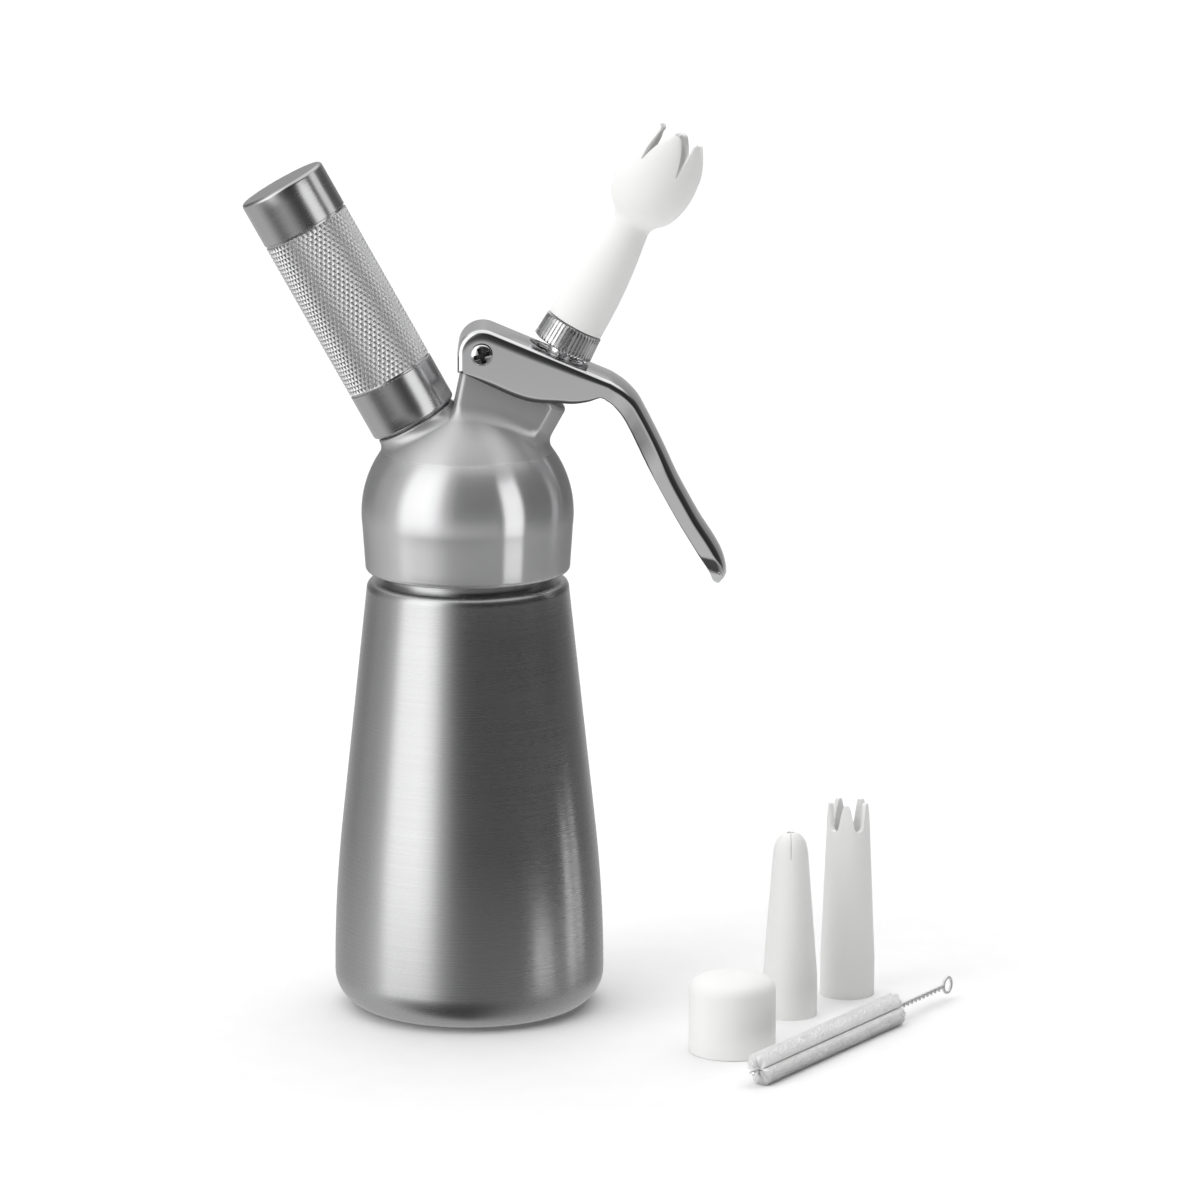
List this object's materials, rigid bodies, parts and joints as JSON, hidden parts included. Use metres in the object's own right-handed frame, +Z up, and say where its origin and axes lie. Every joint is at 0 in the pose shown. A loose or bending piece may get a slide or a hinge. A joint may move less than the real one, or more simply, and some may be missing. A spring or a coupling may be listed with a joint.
{
  "type": "whipped cream dispenser",
  "caption": "Metal whipped cream dispenser with a tapered bottle, a domed screw-on head, lever, gas charger holder and fitted tulip nozzle; loose cap, nozzles and cleaning brush beside it.",
  "frame": {"origin": "centre of the bottle's flat base, on the table", "axes": "+Z up along the bottle, +X towards the lever's handle, +Y away from the screw head that faces the front"},
  "size_m": [0.1986, 0.1285, 0.2501],
  "materials": {
    "bottle_metal": "satin, brushed round the axis",
    "head_metal": "brushed",
    "holder_metal": "turned bands, knurled middle",
    "polished_metal": "polished",
    "steel": "bright",
    "brass": "turned",
    "rubber": "matt",
    "silicone": "matt",
    "white_plastic": "matt, slightly translucent"
  },
  "bodies": {
    "bottle": {"bottle": "bottle_metal"},
    "head_seal": {"head_gasket": "silicone"},
    "head": {"head_casting": "head_metal", "pivot_screw": "polished_metal", "pivot_sleeve": "polished_metal", "valve_bushing": "brass", "stem_o_ring": "rubber", "piercer_body": "brass", "piercing_pin": "steel", "check_valve": "rubber", "charger_gasket": "rubber"},
    "lever": {"lever": "polished_metal"},
    "stem": {"valve_stem": "polished_metal", "valve_spring": "steel", "valve_seal": "rubber", "stem_nut": "brass", "nozzle_collar": "steel"},
    "nozzle_seal": {"nozzle_washer": "silicone"},
    "nozzle": {"tulip_nozzle": "white_plastic"},
    "charger": {"gas_charger": "steel"},
    "holder": {"charger_holder": "holder_metal"},
    "cap": {"closing_cap": "white_plastic"},
    "star": {"star_nozzle": "white_plastic"},
    "crown": {"crown_nozzle": "white_plastic"},
    "brush": {"brush_wire": "steel", "brush_bristles": "white_plastic"}
  },
  "joints": [
    {"name": "head_lift", "type": "slide", "parent": "bottle", "child": "head_seal", "axis": [0, 0, 1], "range_m": [0, 0.009]},
    {"name": "head_turn", "type": "hinge", "parent": "head_seal", "child": "head", "pos_m": [0, 0, 0.141], "axis": [0, 0, 1], "range_deg": [0, 1080]},
    {"name": "lever_swing", "type": "hinge", "parent": "head", "child": "lever", "pos_m": [0.0043, 0, 0.187], "axis": [0, 1, 0], "range_deg": [0, 8], "stiffness_Nm_per_rad": 1, "springref_deg": -11.46},
    {"name": "stem_slide", "type": "slide", "parent": "head", "child": "stem", "axis": [-0.4848, 0, -0.8746], "range_m": [0, 0.002], "deforming": ["valve_spring"]},
    {"name": "nozzle_lift", "type": "slide", "parent": "stem", "child": "nozzle_seal", "axis": [0.4848, 0, 0.8746], "range_m": [0, 0.0045]},
    {"name": "nozzle_turn", "type": "hinge", "parent": "nozzle_seal", "child": "nozzle", "pos_m": [0.03155, 0, 0.19668], "axis": [0.4848, 0, 0.8746], "range_deg": [0, 1080]},
    {"name": "holder_lift", "type": "slide", "parent": "head", "child": "charger", "axis": [-0.4848, 0, 0.8746], "range_m": [0, 0.009]},
    {"name": "holder_turn", "type": "hinge", "parent": "charger", "child": "holder", "pos_m": [-0.02909, 0, 0.19348], "axis": [-0.4848, 0, 0.8746], "range_deg": [0, 2160]},
    {"name": "cap_lift", "type": "slide", "parent": "bottle", "child": "cap", "axis": [0, 0, 1], "range_m": [0, 0.05]},
    {"name": "star_lift", "type": "slide", "parent": "bottle", "child": "star", "axis": [0, 0, 1], "range_m": [0, 0.05]},
    {"name": "crown_lift", "type": "slide", "parent": "bottle", "child": "crown", "axis": [0, 0, 1], "range_m": [0, 0.05]},
    {"name": "brush_lift", "type": "slide", "parent": "bottle", "child": "brush", "axis": [0, 0, 1], "range_m": [0, 0.05]}
  ],
  "couplings": [
    {"joint": "head_turn", "follows": "head_lift", "rad_per_m": 2094.4},
    {"joint": "lever_swing", "follows": "stem_slide", "rad_per_m": 69.8},
    {"joint": "nozzle_turn", "follows": "nozzle_lift", "rad_per_m": 4188.8},
    {"joint": "holder_turn", "follows": "holder_lift", "rad_per_m": 4188.8}
  ]
}
